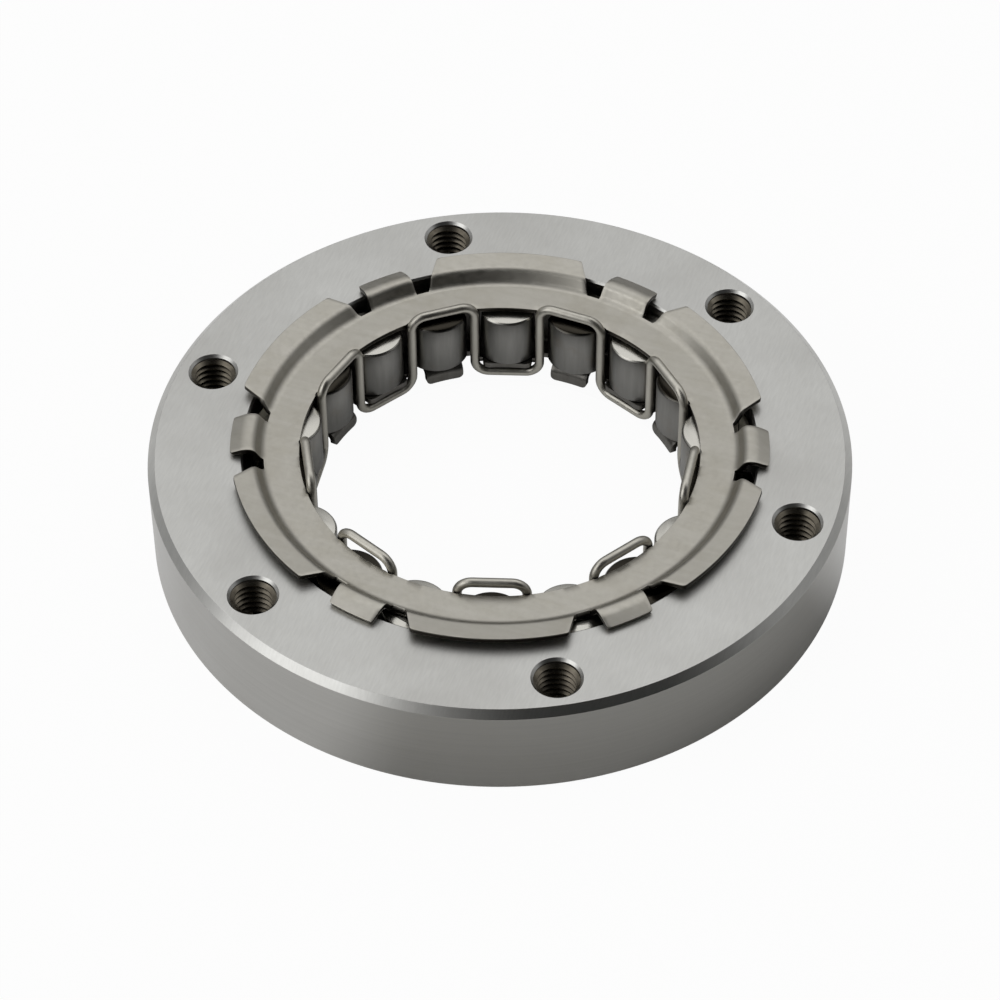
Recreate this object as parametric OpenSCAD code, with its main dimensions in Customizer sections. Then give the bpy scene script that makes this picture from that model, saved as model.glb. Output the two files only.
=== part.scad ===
// One-way starter clutch: a hardened outer race that bolts to a flywheel, and a sprag insert in its bore.
// The insert is a retaining ring, a drawn cage, a meander spring and eighteen sprags.
// Millimetres. The race stands on z = 0 about the Z axis, and one of its bolt holes lies on +X.

/* [Outer race] */
// Bore that the sprags jam against
race_bore = 70; // [69:0.1:71]
// Wall from the bore to the outside
race_wall = 13; // [11:0.1:20]
// Thickness from face to face
race_w = 15; // [14:0.1:20]
// Chamfer round the outside edge of the top face
race_chamfer = 1; // [0.3:0.1:1.5]
// Chamfer round the outside edge of the bottom face
foot_chamfer = 0.5; // [0.2:0.1:1.5]
// Chamfer at both ends of the bore
bore_chamfer = 0.3; // [0.1:0.05:0.5]

/* [Bolt holes] */
// Number of tapped holes
bolt_count = 6; // [3:1:8]
// Distance from the race's outside in to their centres
bolt_inset = 5.65; // [4.5:0.05:6.5]
// Thread's outside diameter, which each hole is drawn at
bolt_d = 6; // [5:0.5:7]
// Depth of the countersink at each mouth
bolt_sink = 0.25; // [0.1:0.05:0.5]

/* [Sprags] */
// Number of sprags round the bore, a multiple of six
sprag_count = 18; // [18]
// Height from nose to tip, measured across the gap between the two races
sprag_h = 9.5; // [9.2:0.05:9.8]
// Length along the axis
sprag_len = 8; // [6:0.1:8.5]
// Width between the two flats
sprag_w = 7.2; // [6.4:0.1:7.4]
// Radius of the cam that meets the race
tip_cam_r = 4; // [3.9:0.05:4.3]
// Radius of the cam that meets the hub
nose_cam_r = 4.6; // [4.3:0.05:4.8]
// Sideways step from the nose to the cam that meets the race, which makes the sprag wedge
cam_offset = 1.3; // [0.9:0.05:1.5]
// Depth of the hollow ground into each flat
waist_depth = 0.5; // [0.2:0.05:0.7]
// Radius of that hollow
waist_r = 3; // [2.5:0.1:4]
// Chamfer round both ends
sprag_chamfer = 0.4; // [0.1:0.05:0.6]
// Running gap between each tip and the bore
tip_gap = 0.05; // [0.03:0.01:0.1]
// Running gap at each end of a sprag
end_gap = 0.15; // [0.1:0.01:0.25]

/* [Retaining ring] */
// Thickness of the sheet
ring_t = 0.7; // [0.5:0.05:0.8]
// Depth of the ring's face below the race's face
ring_drop = 0.25; // [0.1:0.05:0.4]
// Distance from the bore in to the fold that every tab rises from
fold_inset = 2.5; // [2.3:0.05:2.8]
// Distance from that fold in to the bottom of the notches between tabs
notch_inset = 0.6; // [0.5:0.05:0.8]
// Radius of the folds, at the middle of the sheet
fold_r = 0.8; // [0.6:0.05:0.9]
// Distance from the fold out to the knee of a wide tab
wide_knee = 1.2; // [1:0.05:1.4]
// Overhang of a wide tab past the bore
wide_reach = 1.65; // [1.3:0.05:2]
// Clear height under a wide tab at its knee
wide_lift = 0.8; // [0.6:0.05:1]
// Extra height that the wide tab gains from knee to edge
wide_flare = 0.25; // [0:0.05:0.5]
// Width of a wide tab at its fold
wide_w = 21.7; // [20:0.1:21.8]
// Width of a wide tab at its edge
wide_edge_w = 20.1; // [18:0.1:20.5]
// Distance from the fold out to the crest of a hook tab
hook_crest = 1.25; // [1:0.05:1.5]
// Overhang of a hook tab past the bore
hook_reach = 1.6; // [1.3:0.05:2]
// Clear height under a hook tab at its crest
hook_lift = 0.87; // [0.6:0.01:1.1]
// Width of a hook tab at its fold
hook_w = 7.15; // [6:0.05:7.4]
// Width of a hook tab at its edge
hook_edge_w = 6.7; // [5.5:0.1:7]
// Gap between a hook tab's edge and the race's face that it slides on
hook_gap = 0.03; // [0.02:0.01:0.1]

/* [Cage] */
// Thickness of the cage's sheet
cage_t = 0.8; // [0.6:0.05:0.9]
// Height of the rim above the windows
rim_h = 0.4; // [0.3:0.05:0.5]
// Gap at each side of a sprag in its window
window_gap = 0.5; // [0.4:0.05:0.6]
// Depth of the bottom flange, from the cage's outside in to its edge
flange_depth = 3.4; // [3:0.1:3.6]
// Radius of the bends, at the middle of the sheet
cage_bend_r = 0.9; // [0.7:0.05:1.1]
// Width of each lip that is bent down from the flange
lip_w = 5.5; // [4:0.1:6]
// Length of a lip below the flange
lip_drop = 1.5; // [1:0.1:2]
// Radius of a lip's lower corners
lip_corner_r = 0.8; // [0.3:0.1:1.2]
// Distance from the sprags' noses out to a lip's inner face
lip_inset = 0.35; // [0.2:0.05:0.6]

/* [Meander spring] */
// Diameter of the wire
wire_d = 1.25; // [0.9:0.05:1.35]
// Bend radius of the wire at its middle
wire_bend_r = 2; // [1.2:0.1:2.4]
// Distance from the sprags' noses out to the legs' centres
leg_inset = 1.2; // [1:0.05:1.4]
// Height of the top loops' centre above the race's face
loop_rise = 1.1; // [0.8:0.1:1.6]
// Depth of the bottom loops' centre below the sprags' ends
loop_drop = 2.2; // [1.8:0.1:3]
// Gap between the wire's legs and the ring's notches
leg_gap = 0.2; // [0.1:0.05:0.3]
// Gap from the legs' outside to the ring's inner edge
ring_inner_gap = 0.05; // [0:0.05:0.3]

/* [Position] */
// Turn of the insert in the race, from a bolt hole to the middle of a sprag
insert_turn = 7.74; // [0:0.01:20]

/* [Hidden] */
sprag_names = [for (i = [1:sprag_count]) str("sprag_", i < 10 ? "0" : "", i)];
$fn = 96;

bore_r = race_bore / 2;
race_r = bore_r + race_wall;
bolt_circle_r = race_r - bolt_inset;
sprag_pitch = 360 / sprag_count;
tab_pitch = 3 * sprag_pitch;
past = 1; // how far a cutter runs past what it cuts

// Heights, from the race's face down through the insert
ring_top = race_w - ring_drop;
ring_mid = ring_top - ring_t / 2;
ring_under = ring_top - ring_t;
sprag_top = ring_under - rim_h - end_gap;
sprag_bottom = sprag_top - sprag_len;
flange_top = sprag_bottom - end_gap;
flange_mid = flange_top - cage_t / 2;
loop_top = race_w + loop_rise;
loop_bottom = sprag_bottom - loop_drop;

// Radii, from the bore in to the sprags' noses
tip_r = bore_r - tip_gap;
nose_r = tip_r - sprag_h;
fold_at = bore_r - fold_inset;
notch_at = fold_at - notch_inset;
cage_mid_r = notch_at - cage_t / 2;
flange_edge_r = notch_at - flange_depth;
lip_mid_r = nose_r + lip_inset + cage_t / 2;
leg_r = nose_r + leg_inset;
ring_inner_r = leg_r + wire_d / 2 + ring_inner_gap;

// A sprag turns about the centre of the cam that meets the race
pivot_side = cam_offset;
pivot_out = sqrt(pow(tip_r - tip_cam_r, 2) - pow(pivot_side, 2));
nose_out = nose_r + nose_cam_r;
waist_out = (pivot_out + nose_out) / 2;

bends = 6; // steps in each bend of a sheet

// The point at distance d from a towards b
function towards(a, b, d) = a + (b - a) * d / norm(b - a);

// The unit vector a quarter turn to the left of a step
function left_of(step) = [-step.y, step.x] / norm(step);

// The angle in degrees from one step to the next, positive to the left
function turn_between(s, t) = atan2(s.x * t.y - s.y * t.x, s * t);

// The points of an arc of radius r that rounds the corner at b of the line from a to c
function corner_arc(a, b, c, r) =
    let (
        turn = turn_between(b - a, c - b),
        reach = r * tan(abs(turn) / 2),
        start = towards(b, a, reach),
        centre = start + left_of(b - a) * r * sign(turn),
        from = start - centre
    )
    [for (i = [0:bends]) let (w = turn * i / bends)
        centre + [from.x * cos(w) - from.y * sin(w), from.x * sin(w) + from.y * cos(w)]];

// A line through the points with every inner corner rounded to radius r
function rounded_line(points, r) = concat(
    [points[0]],
    [for (i = [1:len(points) - 2]) each corner_arc(points[i - 1], points[i], points[i + 1], r)],
    [points[len(points) - 1]]
);

// The line moved sideways by d, to its left
function beside(line, d) = [
    for (i = [0:len(line) - 1])
        let (before = line[max(i - 1, 0)], after = line[min(i + 1, len(line) - 1)])
        line[i] + left_of(after - before) * d
];

// The line's points from last to first
function reversed(line) = [for (i = [len(line) - 1:-1:0]) line[i]];

// The section of a sheet bent along a line, with radius across and height up
module sheet_section(points, r, t) {
    line = rounded_line(points, r);
    polygon(concat(beside(line, t / 2), reversed(beside(line, -t / 2))));
}

// Copies of the children round the axis, one at each step from the first angle
module around(step, first = 0) {
    for (a = [first:step:first + 359]) rotate([0, 0, a]) children();
}

// A cylinder with both ends chamfered
module chamfered_cylinder(r, h, chamfer) {
    rotate_extrude() polygon([
        [0, 0], [r - chamfer, 0], [r, chamfer], [r, h - chamfer], [r - chamfer, h], [0, h]
    ]);
}

// OUTER RACE

// One tapped hole with a countersink at both mouths, drawn at the thread's outside diameter
module bolt_hole() {
    r = bolt_d / 2;
    translate([0, 0, -past]) cylinder(r = r, h = race_w + 2 * past);
    translate([0, 0, race_w - bolt_sink])
        cylinder(r1 = r, r2 = r + bolt_sink + past, h = bolt_sink + past);
    translate([0, 0, -past])
        cylinder(r1 = r + bolt_sink + past, r2 = r, h = bolt_sink + past);
}

module outer_race() {
    color("silver") difference() {
        rotate_extrude() polygon([
            [bore_r + bore_chamfer, 0],
            [race_r - foot_chamfer, 0],
            [race_r, foot_chamfer],
            [race_r, race_w - race_chamfer],
            [race_r - race_chamfer, race_w],
            [bore_r + bore_chamfer, race_w],
            [bore_r, race_w - bore_chamfer],
            [bore_r, bore_chamfer]
        ]);
        around(360 / bolt_count) translate([bolt_circle_r, 0, 0]) bolt_hole();
    }
}

// RETAINING RING

// One tab along +X: the bent sheet turned about the axis, kept between two straight flanks
module tab(points, fold_w, edge_w) {
    inner = notch_at - past;
    outer = points[len(points) - 1].x + past;
    // The flanks run straight through the fold and the edge, so their half widths follow one line
    slope = (edge_w - fold_w) / 2 / (outer - past - fold_at);
    half_in = fold_w / 2 + slope * (inner - fold_at);
    half_out = fold_w / 2 + slope * (outer - fold_at);
    intersection() {
        rotate([0, 0, -tab_pitch / 2]) rotate_extrude(angle = tab_pitch)
            sheet_section(points, fold_r, ring_t);
        translate([0, 0, ring_under - past])
            linear_extrude(height = race_w)
                polygon([[inner, -half_in], [outer, -half_out], [outer, half_out], [inner, half_in]]);
    }
}

// A wide tab rises over the race's face and stands clear of it
module wide_tab() {
    tab([
        [notch_at - past / 2, ring_mid],
        [fold_at, ring_mid],
        [fold_at + wide_knee, race_w + wide_lift + ring_t / 2],
        [bore_r + wide_reach, race_w + wide_lift + wide_flare + ring_t / 2]
    ], wide_w, wide_edge_w);
}

// A hook tab humps over the bore's edge and comes down on the race's face
module hook_tab() {
    tab([
        [notch_at - past / 2, ring_mid],
        [fold_at, ring_mid],
        [fold_at + hook_crest, race_w + hook_lift + ring_t / 2],
        [bore_r + hook_reach, race_w + hook_gap + ring_t / 2]
    ], hook_w, hook_edge_w);
}

module retaining_ring() {
    color("lightgray") rotate([0, 0, insert_turn]) {
        difference() {
            translate([0, 0, ring_under]) cylinder(r = notch_at, h = ring_t);
            translate([0, 0, ring_under - past]) cylinder(r = ring_inner_r, h = ring_t + 2 * past);
            // A scallop in the inner edge for each leg of the spring
            around(sprag_pitch, sprag_pitch / 2) translate([leg_r, 0, ring_under - past])
                cylinder(r = wire_d / 2 + leg_gap, h = ring_t + 2 * past);
        }
        around(tab_pitch, sprag_pitch / 2) hook_tab();
        around(tab_pitch, 2 * sprag_pitch) wide_tab();
    }
}

// CAGE

// What stays of the flange inside its edge: a strip along +X for one lip, with round lower corners
module lip_strip() {
    bottom = flange_mid - cage_t / 2 - lip_drop;
    half = lip_w / 2 - lip_corner_r;
    rotate([90, 0, 90]) linear_extrude(height = notch_at) {
        translate([-lip_w / 2, bottom + lip_corner_r])
            square([lip_w, flange_top + 2 * past - bottom - lip_corner_r]);
        translate([-half, bottom]) square([2 * half, lip_corner_r]);
        for (side = [-1, 1]) translate([side * half, bottom + lip_corner_r]) circle(r = lip_corner_r);
    }
}

// Everything inside the flange's edge that isn't a lip
module between_lips() {
    low = flange_mid - cage_t / 2 - lip_drop - 2 * past;
    difference() {
        translate([0, 0, low]) cylinder(r = flange_edge_r, h = flange_top + past - low);
        around(2 * sprag_pitch) lip_strip();
    }
}

module sprag_cage() {
    window_w = sprag_w + 2 * window_gap;
    color("darkgray") rotate([0, 0, insert_turn]) difference() {
        rotate_extrude() sheet_section([
            [lip_mid_r, flange_mid - cage_t / 2 - lip_drop - past],
            [lip_mid_r, flange_mid],
            [cage_mid_r, flange_mid],
            [cage_mid_r, ring_under]
        ], cage_bend_r, cage_t);
        between_lips();
        around(sprag_pitch) translate([cage_mid_r - 2, -window_w / 2, flange_top])
            cube([4, window_w, sprag_top + end_gap - flange_top]);
    }
}

// MEANDER SPRING

// The wire runs up one leg, over a sprag, down the next leg and under the next sprag, all round.
// Each loop lies in the plane of its two legs, and is two quarter bends with a straight bar between.
half_chord = leg_r * sin(sprag_pitch / 2);
chord_r = leg_r * cos(sprag_pitch / 2);
wire_sides = 10;
wire_steps = 5; // steps in each quarter bend

// One ring of points round the wire, in loop i, bend 0 or 1, at the angle w of the bend
function wire_ring(i, bend, w) =
    let (
        up = i % 2 == 0 ? 1 : -1,
        azimuth = i * sprag_pitch,
        out = [cos(azimuth), sin(azimuth), 0],
        along = [-sin(azimuth), cos(azimuth), 0],
        height = up > 0 ? loop_top - wire_bend_r : loop_bottom + wire_bend_r,
        y = (bend * 2 - 1) * (half_chord - wire_bend_r) + wire_bend_r * cos(w),
        centre = out * chord_r + along * y + [0, 0, height + up * wire_bend_r * sin(w)],
        across = along * up * cos(w) + [0, 0, sin(w)]
    )
    [for (k = [0:wire_sides - 1]) let (v = 360 * k / wire_sides)
        centre + (out * cos(v) + across * sin(v)) * wire_d / 2];

module meander_spring() {
    rings = [
        for (i = [0:sprag_count - 1]) for (bend = [0, 1]) for (k = [0:wire_steps])
            wire_ring(i, bend, 180 - 90 * bend - 90 * k / wire_steps)
    ];
    count = len(rings);
    faces = [
        for (i = [0:count - 1]) for (k = [0:wire_sides - 1])
            let (
                here = i * wire_sides,
                there = (i + 1) % count * wire_sides,
                next = (k + 1) % wire_sides
            )
            each [
                [here + k, there + k, there + next],
                [here + k, there + next, here + next]
            ]
    ];
    color("gainsboro") rotate([0, 0, insert_turn])
        polyhedron(points = [for (ring = rings) each ring], faces = faces);
}

// SPRAGS

// The two cams of a sprag on +X, as one body with chamfered ends
module cams() {
    translate([pivot_out, pivot_side, 0]) chamfered_cylinder(tip_cam_r, sprag_len, sprag_chamfer);
    translate([nose_out, 0, 0]) chamfered_cylinder(nose_cam_r, sprag_len, sprag_chamfer);
}

// The slab between the two flats, with its end edges chamfered
module flats() {
    half = sprag_w / 2;
    c = sprag_chamfer;
    translate([nose_r - past, 0, 0]) rotate([90, 0, 90]) linear_extrude(height = sprag_h + 2 * past)
        polygon([
            [c - half, 0], [half - c, 0], [half, c], [half, sprag_len - c],
            [half - c, sprag_len], [c - half, sprag_len], [-half, sprag_len - c], [-half, c]
        ]);
}

module sprag_body() {
    difference() {
        intersection() {
            cams();
            flats();
            // The back of a larger nose cam is ground away before it meets the bore
            translate([0, 0, -past]) cylinder(r = tip_r + tip_gap / 2, h = sprag_len + 2 * past);
        }
        for (side = [-1, 1])
            translate([waist_out, side * (sprag_w / 2 + waist_r - waist_depth), -past])
                cylinder(r = waist_r, h = sprag_len + 2 * past);
    }
}

module sprag(i) {
    color("dimgray") rotate([0, 0, insert_turn + i * sprag_pitch])
        translate([0, 0, sprag_bottom]) sprag_body();
}

outer_race();
retaining_ring();
sprag_cage();
meander_spring();
for (i = [0:sprag_count - 1]) sprag(i);
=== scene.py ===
import bpy
import math
from mathutils import Matrix, Vector


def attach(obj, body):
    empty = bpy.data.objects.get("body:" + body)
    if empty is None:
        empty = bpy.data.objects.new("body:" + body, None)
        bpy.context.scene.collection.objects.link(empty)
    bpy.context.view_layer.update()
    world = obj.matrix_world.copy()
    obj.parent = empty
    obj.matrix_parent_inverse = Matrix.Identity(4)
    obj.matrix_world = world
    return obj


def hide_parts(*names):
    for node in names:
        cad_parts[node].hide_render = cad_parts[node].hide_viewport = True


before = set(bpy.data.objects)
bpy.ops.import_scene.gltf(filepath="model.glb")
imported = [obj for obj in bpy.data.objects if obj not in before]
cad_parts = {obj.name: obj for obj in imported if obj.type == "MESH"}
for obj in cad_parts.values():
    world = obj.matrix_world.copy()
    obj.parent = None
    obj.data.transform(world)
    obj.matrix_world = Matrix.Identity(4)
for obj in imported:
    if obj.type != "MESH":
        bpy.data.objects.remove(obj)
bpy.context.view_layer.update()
mm = 0.001
print("frame loaded:", len(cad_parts), "nodes")

# Where the insert sits in the race, in degrees, as in the part's source
insert = {"turn": 7.74, "sprags": 18, "pitch": 20.0, "tabPitch": 60.0}


# Small helpers

def hexToLinear(code):
    # sRGB hex to linear RGBA
    values = []
    for i in (0, 2, 4):
        c = int(code[i:i + 2], 16) / 255
        values.append(c / 12.92 if c <= 0.04045 else ((c + 0.055) / 1.055) ** 2.4)
    return (*values, 1.0)


def addNode(tree, kind, inputs=None, **settings):
    # Inputs go by name or number, and each is a plain value or the output that feeds it
    node = tree.nodes.new(kind)
    for name, value in settings.items():
        setattr(node, name, value)
    for key, value in (inputs or {}).items():
        if isinstance(value, bpy.types.NodeSocket):
            tree.links.new(value, node.inputs[key])
        else:
            node.inputs[key].default_value = value
    return node


def polar(r, degrees, z):
    a = math.radians(degrees)
    return Vector((r * math.cos(a), r * math.sin(a), z)) * mm


def newPiece(name, mesh):
    piece = bpy.data.objects.new(name, mesh)
    bpy.context.scene.collection.objects.link(piece)
    return piece


def meshFrom(name, points, faces, edges=()):
    mesh = bpy.data.meshes.new(name)
    mesh.from_pydata(points, list(edges), faces)
    mesh.update()
    return mesh


def settle(piece):
    # The piece with its modifiers worked in, as a plain mesh
    graph = bpy.context.evaluated_depsgraph_get()
    mesh = bpy.data.meshes.new_from_object(piece.evaluated_get(graph))
    piece.modifiers.clear()
    old = piece.data
    piece.data = mesh
    bpy.data.meshes.remove(old)
    return piece


def smoothUpTo(mesh, degrees):
    mesh.polygons.foreach_set("use_smooth", [True] * len(mesh.polygons))
    mesh.set_sharp_from_angle(angle=math.radians(degrees))


def roundedLine(points, radius, steps):
    # A line of (r, z) points with every inner corner turned into an arc, of one radius or of its own
    radii = radius if isinstance(radius, list) else [radius] * len(points)
    line = [Vector(points[0])]
    for i in range(1, len(points) - 1):
        a, b, c = Vector(points[i - 1]), Vector(points[i]), Vector(points[i + 1])
        come = (b - a).normalized()
        go = (c - b).normalized()
        turn = math.atan2(come.x * go.y - come.y * go.x, come.dot(go))
        reach = radii[i - 1] * math.tan(abs(turn) / 2)
        side = math.copysign(radii[i - 1], turn)
        start = b - come * reach
        centre = start + Vector((-come.y, come.x)) * side
        arm = start - centre
        for k in range(steps + 1):
            w = turn * k / steps
            line.append(centre + Vector((
                arm.x * math.cos(w) - arm.y * math.sin(w),
                arm.x * math.sin(w) + arm.y * math.cos(w),
            )))
    line.append(Vector(points[-1]))
    return line


def closedRound(points, radius, steps):
    # The same for a closed outline
    n = len(points)
    line = []
    for i in range(n):
        corner = roundedLine([points[i - 1], points[i], points[(i + 1) % n]], radius, steps)
        line += corner[1:-1]
    return line


def lathe(name, outline, segments, centre=(0.0, 0.0)):
    # A closed (r, z) outline, anticlockwise, turned about a vertical axis
    count = len(outline)
    points = []
    faces = []
    for s in range(segments):
        a = 2 * math.pi * s / segments
        for p in outline:
            points.append((
                (centre[0] + p[0] * math.cos(a)) * mm,
                (centre[1] + p[0] * math.sin(a)) * mm,
                p[1] * mm,
            ))
    for s in range(segments):
        t = (s + 1) % segments
        for k in range(count):
            n = (k + 1) % count
            faces.append((s * count + k, t * count + k, t * count + n, s * count + n))
    return meshFrom(name, points, faces)


def newTree(name, sockets):
    # A Geometry Nodes tree with named inputs, each given as (name, type, value)
    tree = bpy.data.node_groups.new(name, "GeometryNodeTree")
    face = tree.interface
    face.new_socket(name="Geometry", in_out="INPUT", socket_type="NodeSocketGeometry")
    for label, kind, value in sockets:
        socket = face.new_socket(name=label, in_out="INPUT", socket_type=kind)
        if value is not None:
            socket.default_value = value
    face.new_socket(name="Geometry", in_out="OUTPUT", socket_type="NodeSocketGeometry")
    return tree, addNode(tree, "NodeGroupInput")


def closeTree(tree, given, geometry):
    # Every tree ends in Realize Instances and Set Material
    real = addNode(tree, "GeometryNodeRealizeInstances", {0: geometry})
    smooth = addNode(tree, "GeometryNodeSetShadeSmooth", {0: real.outputs[0]})
    dressed = addNode(tree, "GeometryNodeSetMaterial", {
        0: smooth.outputs[0], "Material": given.outputs["Material"],
    })
    addNode(tree, "NodeGroupOutput", {0: dressed.outputs[0]})


def runTree(name, tree, carrier, values):
    # What the tree makes of the carrier mesh, as a plain mesh of its own
    holder = newPiece(name, carrier)
    modifier = holder.modifiers.new("Make", "NODES")
    modifier.node_group = tree
    for item in tree.interface.items_tree:
        if item.in_out == "INPUT" and item.name in values:
            modifier[item.identifier] = values[item.name]
    return settle(holder)


def dress(piece, material, body, slotName, *nodes):
    piece.data.materials.clear()
    piece.data.materials.append(material)
    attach(piece, body)
    if nodes:
        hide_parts(*nodes)


# Materials

def metal(name, colour, roughness):
    # An empty metal: the tree, its shader and the object's own coordinates
    material = bpy.data.materials.new(name)
    material.use_nodes = True
    tree = material.node_tree
    tree.nodes.clear()
    place = addNode(tree, "ShaderNodeTexCoord")
    shader = addNode(tree, "ShaderNodeBsdfPrincipled", {
        "Base Color": hexToLinear(colour), "Metallic": 1.0, "Roughness": roughness,
    })
    addNode(tree, "ShaderNodeOutputMaterial", {0: shader.outputs[0]})
    return material, tree, place.outputs["Object"], shader


def grain(tree, place, scale, detail, turn=0.0, stretch=(1.0, 1.0, 1.0)):
    # Noise in object space: scale in cells per metre, stretched along its own axes
    laid = addNode(tree, "ShaderNodeMapping", {
        "Vector": place, "Rotation": (0.0, 0.0, math.radians(turn)), "Scale": stretch,
    })
    noise = addNode(tree, "ShaderNodeTexNoise", {
        "Vector": laid.outputs[0], "Scale": scale, "Detail": detail, "Roughness": 0.6,
    })
    return noise.outputs[0]


def blendValue(tree, value, low, high, fromLow=0.3, fromHigh=0.7):
    ranged = addNode(tree, "ShaderNodeMapRange", {
        "Value": value, "From Min": fromLow, "From Max": fromHigh, "To Min": low, "To Max": high,
    })
    return ranged.outputs[0]


def mixColour(tree, factor, first, second, how="MIX"):
    mix = addNode(tree, "ShaderNodeMix", {0: factor, 6: first, 7: second},
                  data_type="RGBA", blend_type=how)
    return mix.outputs[2]


def calculate(tree, how, first, second=0.0):
    return addNode(tree, "ShaderNodeMath", {0: first, 1: second}, operation=how).outputs[0]


def upward(tree):
    # 1 on faces that look up or down, 0 on upright walls
    normal = addNode(tree, "ShaderNodeNewGeometry").outputs["Normal"]
    z = addNode(tree, "ShaderNodeSeparateXYZ", {0: normal}).outputs[2]
    return calculate(tree, "ABSOLUTE", z)


# Ground and turned bearing steel: the flat faces keep the crossing arcs of a surface grinder, the
# wall is a darker fine-turned skin, and the turned chamfer is bright
raceFinish = {
    "face": "C2C2BF", "faceLight": "C9C9C6", "wall": "A6A5A2", "wallLight": "ACABA8",
    "stain": "A8A5A0", "faceRoughness": 0.42, "wallRoughness": 0.32,
    "lineSpacing": 0.3, "lineDepth": 0.006,
}


def groundRaceSteel():
    made = raceFinish
    material, tree, place, shader = metal("groundRaceSteel", made["face"], made["faceRoughness"])
    # Grinding lines lie about 0.05 mm apart: they are drawn 0.3 mm apart so that they show
    fine = 1 / (made["lineSpacing"] * mm)
    firstLay = grain(tree, place, fine, 2.0, 38.0, (1.0, 0.14, 0.2))
    crossLay = grain(tree, place, fine, 2.0, -31.0, (1.0, 0.14, 0.2))
    lay = calculate(tree, "MULTIPLY", calculate(tree, "ADD", firstLay, crossLay), 0.5)
    cloud = grain(tree, place, 60.0, 3.0)
    turning = grain(tree, place, fine * 0.5, 2.0, 0.0, (0.02, 0.02, 1.6))
    flat = blendValue(tree, upward(tree), 0.0, 1.0, 0.85, 0.98)
    steep = blendValue(tree, upward(tree), 0.0, 1.0, 0.25, 0.6)
    face = mixColour(tree, blendValue(tree, lay, 0.0, 1.0, 0.38, 0.62),
                     hexToLinear(made["face"]), hexToLinear(made["faceLight"]))
    wall = mixColour(tree, blendValue(tree, turning, 0.0, 1.0),
                     hexToLinear(made["wall"]), hexToLinear(made["wallLight"]))
    colour = mixColour(tree, steep, wall, face)
    colour = mixColour(tree, blendValue(tree, cloud, 0.0, 0.25), colour,
                       hexToLinear(made["stain"]))
    rough = mixColour(tree, flat, (made["wallRoughness"],) * 3 + (1.0,),
                      (made["faceRoughness"],) * 3 + (1.0,))
    wear = calculate(tree, "ADD", rough, blendValue(tree, cloud, -0.04, 0.04))
    height = addNode(tree, "ShaderNodeMix", {0: flat, 2: turning, 3: lay}, data_type="FLOAT")
    bump = addNode(tree, "ShaderNodeBump", {
        "Strength": 0.35, "Distance": made["lineDepth"] * mm, "Height": height.outputs[0],
    })
    tree.links.new(colour, shader.inputs["Base Color"])
    tree.links.new(wear, shader.inputs["Roughness"])
    tree.links.new(bump.outputs[0], shader.inputs["Normal"])
    return material


# Blanked and bent spring strip, tumbled after pressing: warm grey, satin, with faint rolling lines and
# painted shade on its upright edges
ringFinish = {"sheet": "AEABA2", "light": "B4B1A9", "stain": "9F9A8D", "shearedEdgeShade": "35322D",
              "roughness": 0.40}


def pressedRingSheet():
    made = ringFinish
    material, tree, place, shader = metal("pressedRingSheet", made["sheet"], made["roughness"])
    rolling = grain(tree, place, 900.0, 2.0, 12.0, (0.08, 1.0, 1.0))
    stain = grain(tree, place, 150.0, 3.0)
    speck = grain(tree, place, 1600.0, 2.0)
    colour = mixColour(tree, blendValue(tree, rolling, 0.0, 1.0),
                       hexToLinear(made["sheet"]), hexToLinear(made["light"]))
    colour = mixColour(tree, blendValue(tree, stain, 0.0, 0.35, 0.5, 0.75), colour,
                       hexToLinear(made["stain"]))
    # Upright faces, mostly the sheet's sheared edges, are painted near black: partly the rough dark
    # sheared steel, partly painted shade
    colour = mixColour(tree, blendValue(tree, upward(tree), 1.0, 0.0, 0.15, 0.45), colour,
                       hexToLinear(made["shearedEdgeShade"]))
    rough = calculate(tree, "ADD", blendValue(tree, speck, -0.05, 0.05), made["roughness"])
    bump = addNode(tree, "ShaderNodeBump", {
        "Strength": 0.3, "Distance": 0.01 * mm, "Height": speck,
    })
    tree.links.new(colour, shader.inputs["Base Color"])
    tree.links.new(rough, shader.inputs["Roughness"])
    tree.links.new(bump.outputs[0], shader.inputs["Normal"])
    return material


# Deep-drawn mild steel, left as drawn and oily: darker, with streaks along the draw
cageFinish = {"sheet": "6A6864", "streak": "767470", "roughness": 0.40}


def drawnCageSteel():
    made = cageFinish
    material, tree, place, shader = metal("drawnCageSteel", made["sheet"], made["roughness"])
    streak = grain(tree, place, 1100.0, 2.0, 0.0, (1.0, 1.0, 0.06))
    cloud = grain(tree, place, 200.0, 3.0)
    colour = mixColour(tree, blendValue(tree, streak, 0.0, 1.0),
                       hexToLinear(made["sheet"]), hexToLinear(made["streak"]))
    rough = calculate(tree, "ADD", blendValue(tree, cloud, -0.07, 0.07), made["roughness"])
    tree.links.new(colour, shader.inputs["Base Color"])
    tree.links.new(rough, shader.inputs["Roughness"])
    return material


# Hard-drawn spring wire: a grey drawn skin with die lines along it and soft highlights
wireFinish = {"wire": "C0BDB4", "line": "AFACA3", "roughness": 0.38}


def drawnSpringWire():
    made = wireFinish
    material, tree, place, shader = metal("drawnSpringWire", made["wire"], made["roughness"])
    line = grain(tree, place, 1500.0, 2.0, 0.0, (1.0, 1.0, 0.12))
    cloud = grain(tree, place, 300.0, 2.0)
    colour = mixColour(tree, blendValue(tree, line, 0.0, 0.7),
                       hexToLinear(made["wire"]), hexToLinear(made["line"]))
    rough = calculate(tree, "ADD", blendValue(tree, cloud, -0.06, 0.06), made["roughness"])
    tree.links.new(colour, shader.inputs["Base Color"])
    tree.links.new(rough, shader.inputs["Roughness"])
    return material


# Hardened and tumbled bearing steel: dark satin flanks, and ends that were ground bright; the ends
# under the top loops of the spring carry painted shade
spragFinish = {"flank": "807F7C", "flankLight": "8A8986", "end": "BEBCB5", "stain": "7A6E60",
               "shadeUnderLoops": "36332D", "flankRoughness": 0.34, "endRoughness": 0.25}


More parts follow.
